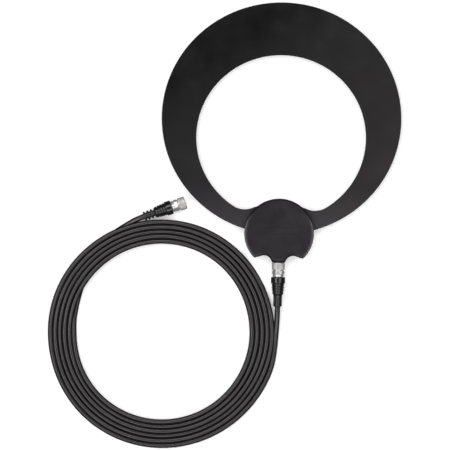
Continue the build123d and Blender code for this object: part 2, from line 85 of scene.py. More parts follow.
CABLE = 5.4
COIL_X, COIL_Y = -114.8, -216.0
COIL_RADIUS, COIL_PITCH = 101.2, 4.7  # of the middle turn, and from one turn to the next
MIDDLE_TURN = 2.775
COIL_STEP = 15  # degrees between the spline's points
LAST_TURN = 5 * 360  # where the innermost turn begins
COIL_START, COIL_END = 18, LAST_TURN + 178
LOW, HIGH = CABLE / 2, CABLE / 2 + 2.8  # the two levels that neighbouring turns lie at
HUMP = 5.4  # how far the turns rise where they pass over the inner end
PLUG_B_TURN = math.radians(19.9)
PLUG_B_WAY = Vector((math.cos(PLUG_B_TURN), math.sin(PLUG_B_TURN), 0))
PLUG_B_TAIL = at(-135.4, -100.9, 6.95)
JACK_AXIS = 7.2  # the height of the jack and of plug A
BOOT_A_TAIL = at(0, -188.1, JACK_AXIS)


def ease(value, start, end):
    """0 before start, 1 after end, and smooth between."""
    t = min(max((value - start) / (end - start), 0), 1)
    return t * t * (3 - 2 * t)


def coil_point(turn):
    """The cable's centre after turning this many degrees clockwise from +X."""
    theta = turn % 360
    near = 360 * round(turn / 360)
    wide = max(math.cos(math.radians(theta)), 0) ** 6
    pitch = COIL_PITCH + 0.3 * wide
    radius = COIL_RADIUS + pitch * (MIDDLE_TURN - turn / 360) + 0.2 * math.cos(math.radians(2 * theta))
    radius += 0.12 * math.sin(math.radians(1.7 * turn))
    radius += 1.1 * ease(theta, 25, 115) * (1 - ease(theta, 125, 170)) - 0.25 * ease(theta, 150, 175)
    radius += 0.85 * ease(theta, 340, 360) - 0.6 * ease(theta, 198, 228)
    before = HIGH if round(turn / 360) % 2 == 0 else LOW
    after = LOW if round(turn / 360) % 2 == 0 else HIGH
    change = ease(turn, near - 24, near + 24) if near else 1
    z = before + (after - before) * change
    if turn > LAST_TURN:
        z += (LOW - z) * ease(turn, LAST_TURN + 150, LAST_TURN + 178)
    else:
        z += HUMP * ease(theta, 168, 207) * (1 - ease(theta, 257, 287))
    radius /= math.cos(math.radians(COIL_STEP / 2))
    angle = math.radians(-theta)
    return at(COIL_X + radius * math.cos(angle), COIL_Y + radius * math.sin(angle), z)


LEAD_A = [
    BOOT_A_TAIL + Vector((0, 5.6, 0)) * MM,
    BOOT_A_TAIL + Vector((0, -5.2, 0)) * MM,
    at(-0.2, -204.0, 5.4),
    at(-0.9, -215.5, 3.2),
    at(-1.5, -228.0, 2.7),
]
CROSSING = [
    at(-203.8, -208.7, 2.7),
    at(-202.3, -196.9, 2.7),
    at(-200.0, -185.0, 2.7),
    at(-197.0, -173.6, 2.7),
    at(-193.1, -162.1, 2.7),
    at(-188.4, -151.0, 2.7),
    at(-182.6, -139.7, 2.7),
]
LEAD_B = [
    at(-175.7, -129.0, 2.7),
    at(-166.4, -118.9, 2.7),
    at(-152.5, -109.6, 2.9),
    PLUG_B_TAIL - PLUG_B_WAY * 6.0 * MM,
    PLUG_B_TAIL + PLUG_B_WAY * 5.6 * MM,
]


def make_cord():
    """The lead, one smooth line from plug A's boot through the coil to plug B's boot."""
    route = list(LEAD_A)
    route += [coil_point(turn) for turn in range(COIL_START, COIL_END, COIL_STEP)]
    route += CROSSING + LEAD_B
    curve = bpy.data.curves.new("lead_cable", "CURVE")
    curve.dimensions = "3D"
    curve.bevel_depth = 1  # times each point's radius, which the curve's own box also takes
    curve.bevel_resolution = 7
    curve.resolution_u = 6
    curve.use_fill_caps = True
    spline = curve.splines.new("NURBS")
    spline.points.add(len(route) - 1)
    for point, place in zip(spline.points, route):
        point.co = (*place, 1)
        point.radius = CABLE / 2 * MM
    spline.order_u = 3
    spline.use_endpoint_u = True
    cable = bpy.data.objects.new("lead_cable", curve)
    bpy.context.collection.objects.link(cable)
    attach(cable, "lead")
    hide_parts("cable_lead_a", "cable_coil", "cable_lead_b")
    return cable


cable = make_cord()

# ----------------------------------------------------------------- materials


class Recipe:
    """A material's node tree, built up around one Principled shader."""

    def __init__(self, name):
        self.material = bpy.data.materials.new(name)
        self.material.use_nodes = True
        self.tree = self.material.node_tree
        self.shader = self.tree.nodes["Principled BSDF"]
        self.place = self.node("ShaderNodeTexCoord").outputs["Object"]

    def node(self, kind, **values):
        made = self.tree.nodes.new(kind)
        for key, value in values.items():
            if key in made.inputs:
                made.inputs[key].default_value = value
            else:
                setattr(made, key, value)
        return made

    def link(self, source, target):
        self.tree.links.new(source, target)

    def stretched(self, scale):
        """The place on the object, scaled along each axis."""
        mapping = self.node("ShaderNodeMapping", Scale=scale)
        self.link(self.place, mapping.inputs["Vector"])
        return mapping.outputs["Vector"]

    def noise(self, scale, detail=3.0, roughness=0.5, place=None):
        made = self.node("ShaderNodeTexNoise", Scale=scale, Detail=detail, Roughness=roughness)
        self.link(place or self.place, made.inputs["Vector"])
        return made.outputs["Fac"]

    def remap(self, value, source, target):
        made = self.node("ShaderNodeMapRange")
        for key, number in zip(("From Min", "From Max", "To Min", "To Max"), (*source, *target)):
            made.inputs[key].default_value = number
        self.link(value, made.inputs["Value"])
        return made.outputs["Result"]

    def ramp(self, value, stops):
        made = self.node("ShaderNodeValToRGB")
        band = made.color_ramp
        while len(band.elements) < len(stops):
            band.elements.new(1)
        for element, (position, colour) in zip(band.elements, stops):
            element.position = position
            element.color = (*colour, 1)
        self.link(value, made.inputs["Fac"])
        return made.outputs["Color"]

    def mix(self, amount, first, second):
        made = self.node("ShaderNodeMix", data_type="RGBA")
        self.link(amount, made.inputs["Factor"])
        for socket, value in ((made.inputs[6], first), (made.inputs[7], second)):
            if isinstance(value, tuple):
                socket.default_value = (*value, 1)
            else:
                self.link(value, socket)
        return made.outputs[2]

    def bump(self, height, distance, strength=1.0, under=None):
        """A bump of the given depth in metres, on top of another."""
        made = self.node("ShaderNodeBump", Distance=distance, Strength=strength)
        self.link(height, made.inputs["Height"])
        if under:
            self.link(under, made.inputs["Normal"])
        return made.outputs["Normal"]

    def set(self, **values):
        for key, value in values.items():
            self.shader.inputs[key.replace("_", " ")].default_value = value

    def finish(self, colour=None, roughness=None, normal=None):
        for socket, value in (("Base Color", colour), ("Roughness", roughness), ("Normal", normal)):
            if value:
                self.link(value, self.shader.inputs[socket])
        return self.material


def moulded(name, dark, light, roughness, grain, depth, tint_scale=30, gloss=0.5):
    """Moulded plastic or rubber: spark-eroded grain, slight cloudiness and polish marks."""
    r = Recipe(name)
    r.set(Specular_IOR_Level=gloss)
    cloud = r.remap(r.noise(tint_scale, 4), (0.35, 0.65), (0, 1))
    speck = r.noise(grain * 0.6, 2)
    colour = r.mix(cloud, dark, light)
    colour = r.mix(r.remap(speck, (0.62, 0.75), (0, 0.5)), colour, tuple(1.6 * c for c in light))
    rough = r.remap(r.noise(tint_scale * 2.3, 5), (0.3, 0.7), roughness)
    normal = r.bump(r.noise(grain, 3, 0.6), depth)
    return r.finish(colour, rough, normal)


def make_housing():
    """Black moulded shells, in a fine satin grain."""
    dark, light = (0.0076, 0.0057, 0.0086), (0.0116, 0.0094, 0.0122)
    return moulded("housing", dark, light, (0.27, 0.34), 1900, 6e-6)


def make_loop_plastic():
    """Black laminate: satin film over the foil, with painted light that makes it lighter towards the hub
    and the lower right.
    """
    r = Recipe("loop_plastic")
    split = r.node("ShaderNodeSeparateXYZ")
    r.link(r.place, split.inputs["Vector"])
    # Painted light and shade: the sheet's tone runs from nearly black at the upper left to lighter at the
    # lower right.
    painted_light_slope = r.node("ShaderNodeMath", operation="MULTIPLY_ADD")
    r.link(split.outputs["Y"], painted_light_slope.inputs[0])
    painted_light_slope.inputs[1].default_value = -1.6
    r.link(split.outputs["X"], painted_light_slope.inputs[2])
    painted_light_share = r.remap(painted_light_slope.outputs["Value"], (-0.20, 0.18), (0, 1))
    tones = [(0, (0.002, 0.0019, 0.0023)), (0.21, (0.011, 0.0103, 0.0112))]
    tones += [(0.74, (0.0202, 0.0186, 0.0198)), (1, (0.027, 0.0243, 0.0253))]
    colour = r.ramp(painted_light_share, tones)
    cloud = r.remap(r.noise(18, 5), (0.35, 0.65), (0, 0.3))
    colour = r.mix(cloud, colour, (0.011, 0.0103, 0.011))
    # Painted light: the sheet is lighter close to the hub.
    painted_light_near_hub = r.remap(split.outputs["Y"], (-0.09, -0.05), (0.4, 0))
    colour = r.mix(painted_light_near_hub, colour, (0.062, 0.054, 0.061))
    r.set(Specular_IOR_Level=0.4)
    rough = r.remap(r.noise(45, 5), (0.3, 0.7), (0.19, 0.25))
    wave = r.bump(r.noise(14, 1), 2.5e-4)
    film = r.bump(r.noise(2600, 2, 0.6), 9e-6, under=wave)
    return r.finish(colour, rough, film)


def make_cable_jacket():
    """Extruded jacket: a satin surface, a little cloudy along its length."""
    r = Recipe("cable_jacket")
    cloud = r.remap(r.noise(60, 4), (0.35, 0.65), (0, 1))
    colour = r.mix(cloud, (0.0065, 0.0045, 0.0052), (0.0105, 0.0083, 0.009))
    r.set(Specular_IOR_Level=0.55)
    rough = r.remap(r.noise(40, 2), (0.3, 0.7), (0.255, 0.28))
    normal = r.bump(r.noise(1300, 2), 1e-6)
    return r.finish(colour, rough, normal)


def make_boot_rubber():
    """The strain reliefs' black rubber, a little glossier than the shells."""
    dark, light = (0.006, 0.006, 0.0065), (0.011, 0.0107, 0.011)
    return moulded("boot_rubber", dark, light, (0.18, 0.27), 1500, 4e-6, 90, gloss=0.6)


def make_grip_rubber():
    """Non-slip pad with a close pattern of small raised dots."""
    r = Recipe("grip_rubber")
    dots = r.node("ShaderNodeTexVoronoi", Scale=620.0, Randomness=0.0)
    r.link(r.place, dots.inputs["Vector"])
    height = r.remap(dots.outputs["Distance"], (0.15, 0.4), (1, 0))
    cloud = r.remap(r.noise(80, 4), (0.35, 0.65), (0, 1))
    colour = r.mix(cloud, (0.014, 0.014, 0.0145), (0.024, 0.0235, 0.024))
    rough = r.remap(r.noise(300, 3), (0.3, 0.7), (0.7, 0.85))
    return r.finish(colour, rough, r.bump(height, 2.5e-4))


def metal(name, dull, bright, roughness, grain=900, depth=6e-6, stretch=(1, 1, 1), bare=1.0):
    """Plated or drawn metal: cloudy tone, smudged gloss, fine marks. Below 1, bare leaves it dull."""
    r = Recipe(name)
    r.set(Metallic=bare)
    cloud = r.remap(r.noise(170, 5), (0.3, 0.7), (0, 1))
    colour = r.mix(cloud, dull, bright)
    rough = r.remap(r.noise(420, 5), (0.3, 0.7), roughness)
    marks = r.noise(grain, 3, 0.6, r.stretched(stretch))
    return r.finish(colour, rough, r.bump(marks, depth))


def make_white_insulator():
    """Milky polyethylene with a faint fine grain."""
    r = Recipe("white_insulator")
    r.set(Subsurface_Weight=0.25, Subsurface_Scale=0.001)
    cloud = r.remap(r.noise(500, 3), (0.3, 0.7), (0, 1))
    colour = r.mix(cloud, (0.72, 0.72, 0.69), (0.83, 0.83, 0.80))
    rough = r.remap(r.noise(900, 3), (0.3, 0.7), (0.35, 0.5))
    return r.finish(colour, rough, r.bump(r.noise(1800, 2), 1e-5))


def make_circuit_board():
    """Green lacquer over a glass weave, with a brick pattern of lighter green lines for tracks."""
    r = Recipe("circuit_board")
    weave = r.node("ShaderNodeTexChecker", Scale=1300.0)
    r.link(r.place, weave.inputs["Vector"])
    tracks = r.node("ShaderNodeTexBrick", Scale=160.0)
    tracks.inputs["Color1"].default_value = (0.02, 0.16, 0.06, 1)
    tracks.inputs["Color2"].default_value = (0.025, 0.19, 0.07, 1)
    tracks.inputs["Mortar"].default_value = (0.05, 0.30, 0.12, 1)
    r.link(r.place, tracks.inputs["Vector"])
    rough = r.remap(r.noise(300, 3), (0.3, 0.7), (0.25, 0.4))
    return r.finish(tracks.outputs["Color"], rough, r.bump(weave.outputs["Fac"], 2e-5))


def make_ferrite():
    """Dark sintered ceramic with lighter specks."""
    r = Recipe("ferrite")
    speck = r.noise(2400, 2, 0.7)
    tones = [(0.35, (0.022, 0.022, 0.024)), (0.6, (0.05, 0.05, 0.055)), (0.8, (0.16, 0.16, 0.17))]
    colour = r.ramp(speck, tones)
    rough = r.remap(r.noise(700, 3), (0.3, 0.7), (0.55, 0.75))
    return r.finish(colour, rough, r.bump(speck, 5e-5))


def make_chip_ceramic():
    """The brown ceramic of chip parts."""
    r = Recipe("chip_ceramic")
    cloud = r.remap(r.noise(1500, 3), (0.3, 0.7), (0, 1))
    colour = r.mix(cloud, (0.34, 0.24, 0.15), (0.50, 0.38, 0.25))
    rough = r.remap(r.noise(2500, 2), (0.3, 0.7), (0.35, 0.5))
    return r.finish(colour, rough, r.bump(r.noise(3000, 2), 2e-5))


def make_nickel():
    """Nickel plate, dulled by handling."""
    return metal("nickel", (0.47, 0.458, 0.457), (0.63, 0.617, 0.614), (0.28, 0.4), bare=0.64)


materials = {
    "housing": make_housing(),
    "loop_plastic": make_loop_plastic(),
    "foil": metal("foil", (0.70, 0.70, 0.72), (0.84, 0.84, 0.86), (0.22, 0.42), 300, 3e-5, (1, 12, 1)),
    "grip_rubber": make_grip_rubber(),
    "screw_steel": metal("screw_steel", (0.42, 0.42, 0.44), (0.60, 0.60, 0.60), (0.25, 0.45)),
    "circuit_board": make_circuit_board(),
    "ferrite": make_ferrite(),
    "copper_wire": metal("copper_wire", (0.50, 0.17, 0.07), (0.74, 0.32, 0.15), (0.2, 0.35)),
    "chip_ceramic": make_chip_ceramic(),
    "rivet_brass": metal("rivet_brass", (0.62, 0.44, 0.18), (0.80, 0.62, 0.30), (0.25, 0.42)),
    "nickel": make_nickel(),
    "contact_gold": metal("contact_gold", (0.72, 0.50, 0.20), (0.86, 0.66, 0.32), (0.18, 0.3)),
    "white_insulator": make_white_insulator(),
    "copper_core": metal("copper_core", (0.60, 0.28, 0.15), (0.80, 0.45, 0.28), (0.2, 0.35), 1200, 1e-5),
    "boot_rubber": make_boot_rubber(),
    "cable_jacket": make_cable_jacket(),
}

for row in frame["record"]["subparts"]:
    node = frame["nodes"][row["node"]]
    for material_slot in node.material_slots:
        material_slot.material = materials[row["material_slot"]]
cable.data.materials.append(materials["cable_jacket"])

# ------------------------------------------------------------- turned pieces

BOOT_END = 43.8  # distances along a plug run from its nut's mouth to the cable
MOUTH_A = BOOT_A_TAIL + Vector((0, BOOT_END, 0)) * MM
MOUTH_B = PLUG_B_TAIL + PLUG_B_WAY * BOOT_END * MM


def seat(origin, way, turn=0.0):
    """A frame whose Z runs along a piece's axis, turned about that axis."""
    z = way.normalized()
    x = Vector((1, 0, 0)) if abs(z.z) > 0.5 else Vector((0, 0, 1))
    y = z.cross(x)
    axes = Matrix((x, y, z)).transposed().to_4x4()
    return Matrix.Translation(origin) @ axes @ Matrix.Rotation(turn, 4, "Z")


def turned(name, place, rows, count, crease=28, closed=True):
    """A turned piece: each row is (distance, radius or a function of the angle)."""
    mesh = bpy.data.meshes.new(name)
    points = []
    for distance, radius in rows:
        for i in range(count):
            angle = 2 * math.pi * i / count
            reach = radius(angle) if callable(radius) else radius
            spot = Vector((reach * math.cos(angle), reach * math.sin(angle), distance)) * MM
            points.append(place @ spot)
    faces = []
    last = len(rows) if closed else len(rows) - 1
    for j in range(last):
        low, high = j * count, (j + 1) % len(rows) * count
        for i in range(count):
            k = (i + 1) % count
            faces.append((low + i, low + k, high + k, high + i))
    mesh.from_pydata(points, [], faces)
    tidy_mesh(mesh, crease)
    piece = bpy.data.objects.new(name, mesh)
    bpy.context.collection.objects.link(piece)
    return piece


def tidy_mesh(mesh, crease):
    """Faces outward, smooth, and sharp where they meet at more than the crease angle."""
    work = bmesh.new()
    work.from_mesh(mesh)
    bmesh.ops.remove_doubles(work, verts=work.verts, dist=1e-7)
    bmesh.ops.recalc_face_normals(work, faces=work.faces)
    work.to_mesh(mesh)
    work.free()
    mesh.shade_smooth()
    mesh.set_sharp_from_angle(angle=math.radians(crease))


def steps(start, end, count):
    """Evenly spaced numbers from start to end."""
    return [start + (end - start) * i / count for i in range(count + 1)]


# ------------------------------------------------------------- coupling nuts

NUT_RADIUS = 6.4
KNURL_START, KNURL_END = 0.8, 6.6
KNURL_COUNT = 46  # diamonds round the nut
KNURL_DEPTH = 0.32
NUT_AROUND = KNURL_COUNT * 6
NUT_NECK = 5.0
HEX_START, HEX_END = 7.8, 11.5
HEX_FLATS = 11.0
SKIRT_RADIUS = 5.5
NUT_BACK = 14.1
THREAD_PITCH = 25.4 / 32
THREAD_MINOR, THREAD_MAJOR = 4.80, 5.18
THREAD_START, THREAD_END = 0.5, 7.4


def saw(value):
    """0 halfway between whole numbers, 1 at each whole number."""
    return abs(2 * (value - math.floor(value)) - 1)


def knurled(distance):
    """The nut's radius round its knurl: V grooves along two crossing helices."""
    lift = distance / (2 * math.pi * NUT_RADIUS / KNURL_COUNT)

    def radius(angle):
        around = KNURL_COUNT * angle / (2 * math.pi)
        groove = max(saw(around + lift), saw(around - lift))
        return NUT_RADIUS - KNURL_DEPTH * max(0, groove - 0.35) / 0.65

    return radius


def hexagon(limit):
    """A hexagon's radius, cut off by a turned chamfer's radius."""

    def radius(angle):
        off = (angle + math.pi / 6) % (math.pi / 3) - math.pi / 6
        return min(HEX_FLATS / 2 / math.cos(off), limit)

    return radius


def threaded(distance, crest, root, pitch=THREAD_PITCH):
    """A radius round a screw thread: 60 degree flanks with flat crests and roots."""

    def radius(angle):
        wave = 1 - abs(2 * ((distance / pitch - angle / (2 * math.pi)) % 1) - 1)
        share = min(max((wave - 0.14) / 0.72, 0), 1)
        return crest + (root - crest) * share

    return radius


def make_nut(name, place):
    """A coupling nut: diamond knurl, neck, chamfered hexagon, skirt, and the thread inside."""
    chamfer = [(0.0, 5.3), (0.08, 5.44), (0.16, 5.58), (0.26, 5.75), (0.4, 5.98), (0.55, 6.1)]
    rows = [(0.0, 5.25), (0.0, 5.85), (0.12, 6.05), (0.45, 6.3), (KNURL_START, 6.34)]
    rows += [(d, knurled(d)) for d in steps(KNURL_START, KNURL_END, 46)]
    rows += [(KNURL_END, 6.34), (KNURL_END + 0.2, 6.3), (7.0, 6.0), (7.05, NUT_NECK), (7.75, NUT_NECK)]
    rows += [(HEX_START + d, hexagon(r)) for d, r in chamfer]
    rows += [(HEX_END - d, hexagon(r)) for d, r in reversed(chamfer)]
    rows += [(HEX_END, NUT_NECK), (12.0, NUT_NECK), (12.1, SKIRT_RADIUS - 0.1), (12.3, SKIRT_RADIUS)]
    rows += [(13.7, SKIRT_RADIUS), (NUT_BACK, SKIRT_RADIUS - 0.3)]
    rows += [(NUT_BACK, 4.3), (10.7, 4.3), (10.7, 3.6), (8.6, 3.6), (8.6, THREAD_MINOR)]
    rows += [(d, threaded(d, THREAD_MINOR, THREAD_MAJOR)) for d in steps(THREAD_END, THREAD_START, 52)]
    piece = turned(name, place, rows, NUT_AROUND)
    piece.data.materials.append(materials["nickel"])
    return piece


# ------------------------------------------------------------- strain reliefs

BOOT_AROUND = 120
COLLAR_RADIUS, COLLAR_START, COLLAR_END = 7.05, 14.4, 20.8
BARREL_RADIUS, BARREL_END = 6.2, 31.4
BARREL_RIBS, RIB_DEPTH = 4, 1.05
RIB_PROFILE = [(-0.5, 1), (-0.32, 0.12), (-0.25, 0), (0.25, 0), (0.32, 0.12)]  # a V groove between ribs
TAIL_START, TAIL_LOW, TAIL_HIGH = 32.7, 3.1, 4.3
TAIL_BARBS, BARB_HIGH = 3, 4.75
TAIL_FLUTES, FLUTE_DEPTH = 10, 0.32


def linked(level, high):
    """A groove of the barbed tail, bridged by two webs on opposite sides."""

    def radius(angle):
        web = abs(math.cos(angle))
        return level + (high - level) * ease(web, 0.86, 0.95)

    return radius


def fluted(high):
    """A sleeve with long flutes, one of them on top."""
    return lambda angle: high - FLUTE_DEPTH * (0.5 + 0.5 * math.cos(TAIL_FLUTES * angle))


def barbed_tail():
    """Plug B's tail: three barbs with grooves between them, as rows for turned."""
    rows = []
    pitch = (BOOT_END - TAIL_START) / TAIL_BARBS
    for i in range(TAIL_BARBS):
        start = TAIL_START + i * pitch
        for share in (0.0, 0.08, 0.36, 0.44):
            rows.append((start + share * pitch, linked(TAIL_LOW, TAIL_HIGH - 0.35)))
        barb = steps(0.46, 1.0, 8)
        swell = [BARB_HIGH - 0.9 * (2 * (share - 0.73) / 0.54) ** 4 for share in barb]
        rows += [(start + share * pitch, r) for share, r in zip(barb, swell)]
    return rows


def fluted_tail():
    """Plug A's tail: a fluted sleeve that ends in a bead, as rows for turned."""
    end = BOOT_END - 2.2
    bead = [(end + 0.1, 4.15), (end + 0.4, 4.4), (end + 1.1, 4.45), (end + 1.7, 4.25), (BOOT_END, 3.5)]
    return [(d, fluted(TAIL_HIGH)) for d in steps(TAIL_START + 0.3, end, 4)] + bead


def make_boot(name, place, tail):
    """A strain relief: collar, ribbed barrel and the given tail, hollow for the ferrule and the cable."""
    rows = [(COLLAR_START, 3.55), (COLLAR_START, 6.3), (COLLAR_START + 0.12, 6.7)]
    rows += [(COLLAR_START + 0.45, COLLAR_RADIUS - 0.06), (COLLAR_START + 0.8, COLLAR_RADIUS)]
    rows += [(COLLAR_END - 0.8, COLLAR_RADIUS), (COLLAR_END - 0.4, COLLAR_RADIUS - 0.08)]
    rows += [(COLLAR_END - 0.1, COLLAR_RADIUS - 0.35), (COLLAR_END, BARREL_RADIUS - 0.8)]
    pitch = (BARREL_END - COLLAR_END) / BARREL_RIBS
    for i in range(BARREL_RIBS):
        crest = BARREL_RADIUS - 0.7 * ease(i, BARREL_RIBS - 3, BARREL_RIBS - 0.5)
        for share, depth in RIB_PROFILE:
            rows.append((COLLAR_END + (i + 0.5 + share) * pitch, crest - RIB_DEPTH * depth))
    rows += [(BARREL_END + 0.5, 4.75), (TAIL_START, 4.3)] + tail
    rows += [(BOOT_END, 2.75), (24.1, 2.75), (24.1, 3.55)]
    piece = turned(name, place, rows, BOOT_AROUND, crease=50)
    piece.data.materials.append(materials["boot_rubber"])
    return piece


plug_pieces = [
    frame["nodes"][f"{plug}_{piece}"]
    for plug in ("plug_a", "plug_b")
    for piece in ("post", "ferrule", "dielectric", "pin")
]
for plug, mouth, way, tail, nut_turn, body in (
    ("plug_a", MOUTH_A, Vector((0, -1, 0)), fluted_tail(), -6, "coupling_nut_a"),
    ("plug_b", MOUTH_B, -PLUG_B_WAY, barbed_tail(), 13, "coupling_nut_b"),
):
    nut = make_nut(f"{plug}_coupling_nut", seat(mouth, way, math.radians(nut_turn)))
    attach(nut, body)
    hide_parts(f"{plug}_nut")
    boot = make_boot(f"{plug}_strain_relief", seat(mouth, way), tail)
    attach(boot, "lead")
    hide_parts(f"{plug}_boot")
    plug_pieces += [nut, boot]

# ----------------------------------------------------------- hub front cover

HUB_CENTRE = (0.0, -115.0)
HUB_RADIUS = 34.75
HUB_SEAM, HUB_TOP = 7.2, 14.0
NOTCH_RADIUS = 7.9
NOTCH_CENTRE = (14.6, -145.0)
NOTCH_START = 164  # degrees, where a notch's arc meets the neck
NECK_CORNER = (6.3, -144.0)
NECK_ROUND = 0.7
EAR_POINT = (24.3, -140.0)
EAR_ROUND = 2.4
EDGE_WIDE, EDGE_HIGH = 3.8, 0.62  # the face falls away softly, then turns down into the wall
LIP_SIDES, LIP_ENDS = 0.4, 1.7  # by a round at the hub's sides, and by a chamfer at its two ends
LIP_NECK, LIP_DROP = 2.8, 1.7  # the chamfer is wider over the jack, and no deeper, so it clears it
SIDES_START, SIDES_END = 16, 31  # off the middle line, where the chamfer turns into the round
SIDES_LOW, SIDES_HIGH = 8, 20  # above the hub's centre, where the round turns back into the chamfer
NECK_FADE_X, NECK_FADE_Y = (5.5, 9), (139, 142)  # where the wide chamfer of the neck begins
EDGE_ROWS = 14
COVER_WALL, COVER_CEILING = 1.8, 12.4
BADGE_CENTRE = (0.0, -112.3)
BADGE_LENGTH, BADGE_WIDTH = 44.0, 6.4
BADGE_LINE, BADGE_DEPTH = 0.7, 0.3
BOSS_SEATS = [(24.0, -101.0), (-24.0, -101.0), (21.5, -129.5), (-21.5, -129.5)]
BOSS_RADIUS, BOSS_BORE, BOSS_END = 2.8, 1.1, 4.5


def arc(centre, radius, start, end, step=1.0):
    """Points along an arc, about one step of length apart; angles in degrees."""
    count = max(2, math.ceil(abs(math.radians(end - start)) * radius / step))
    turns = [math.radians(a) for a in steps(start, end, count)]
    return [Vector((centre[0] + radius * math.cos(t), centre[1] + radius * math.sin(t))) for t in turns]


def rounded_corner(before, corner, after, radius):
    """Points round a corner between two straight runs."""
    into = (corner - before).normalized()
    away = (after - corner).normalized()
    half = into.angle(away) / 2
    reach = radius * math.tan(half)
    start, end = corner - into * reach, corner + away * reach
    count = 7
    centre = corner + (away - into).normalized() * (radius / math.cos(half))
    rounded = []
    for i in range(count + 1):
        spot = start.lerp(end, i / count) - centre
        rounded.append(centre + spot.normalized() * radius)
    return rounded


def hub_outline():
    """The hub's outline from above, anticlockwise from the middle of the neck."""
    notch = Vector(NOTCH_CENTRE)
    to_ear = Vector(EAR_POINT) - notch
    ear_turn = math.degrees(math.atan2(to_ear.y, to_ear.x))
    tangent = ear_turn + math.degrees(math.acos(NOTCH_RADIUS / to_ear.length))
    notch_arc = arc(NOTCH_CENTRE, NOTCH_RADIUS, NOTCH_START, tangent, 0.8)
    ear = Vector(EAR_POINT)
    rim_start = math.degrees(math.atan2(ear.y - HUB_CENTRE[1], ear.x - HUB_CENTRE[0]))
    rim = arc(HUB_CENTRE, HUB_RADIUS, rim_start, 90, 1.0)
    neck = Vector(NECK_CORNER)
    neck_round = rounded_corner(Vector((0, neck.y)), neck, notch_arc[0], NECK_ROUND)
    ear_round = rounded_corner(notch_arc[-1], rim[0], rim[3], EAR_ROUND)
    rim = [p for p in rim if (p - rim[0]).length > 1.9]
    half = neck_round + notch_arc[:-1] + ear_round + rim
    mirrored = [Vector((-p.x, p.y)) for p in reversed(half) if p.x > 1e-6]
    return [Vector((0, neck.y))] + half + mirrored


def inset_line(outline, distance):
    """The outline drawn in; points that would cross gather at the nearest free one."""
    count = len(outline)
    fine = [
        outline[i].lerp(outline[(i + 1) % count], k / 4).to_3d() for i in range(count) for k in range(4)
    ]
    tree = KDTree(len(fine))
    for i, point in enumerate(fine):
        tree.insert(point, i)
    tree.balance()
    moved = []
    for i, point in enumerate(outline):
        along = (outline[(i + 1) % count] - outline[i - 1]).normalized()
        moved.append(point + Vector((-along.y, along.x)) * distance)
    good = [tree.find(p.to_3d())[2] > 0.985 * distance for p in moved]
    kept = [p for p, fits in zip(moved, good) if fits]
    return [p if fits else min(kept, key=lambda q: (q - p).length) for p, fits in zip(moved, good)], tree


def stadium(half_length, half_width):
    """A slot's outline, anticlockwise."""
    side = half_length - half_width
    points = []
    for turn in steps(-90, 90, 18) + steps(90, 270, 18):
        shift = side if len(points) < 19 else -side
        t = math.radians(turn)
        points.append(Vector((shift + half_width * math.cos(t), half_width * math.sin(t))))
    return [point + Vector(BADGE_CENTRE) for point in points]


def edge_fall(spot, from_edge):
    """How far the cover's top lies below its flat face at a point this far in from the outline."""
    inward = min(from_edge, EDGE_WIDE)
    sideways = ease(abs(spot.x), SIDES_START, SIDES_END)
    sideways *= 1 - ease(spot.y - HUB_CENTRE[1], SIDES_LOW, SIDES_HIGH)
    neck = ease(-spot.y, *NECK_FADE_Y) * (1 - ease(abs(spot.x), *NECK_FADE_X))
    lip = LIP_ENDS + (LIP_SIDES - LIP_ENDS) * sideways + (LIP_NECK - LIP_ENDS) * neck
    chamfered = max(0, 1 - inward / lip)
    rounded = 1 - math.sqrt(1 - chamfered * chamfered)
    soft = EDGE_HIGH * (0.25 + 0.75 * sideways) * (1 - inward / EDGE_WIDE) ** 2
    return soft + min(lip, LIP_DROP) * (chamfered + (rounded - chamfered) * sideways)


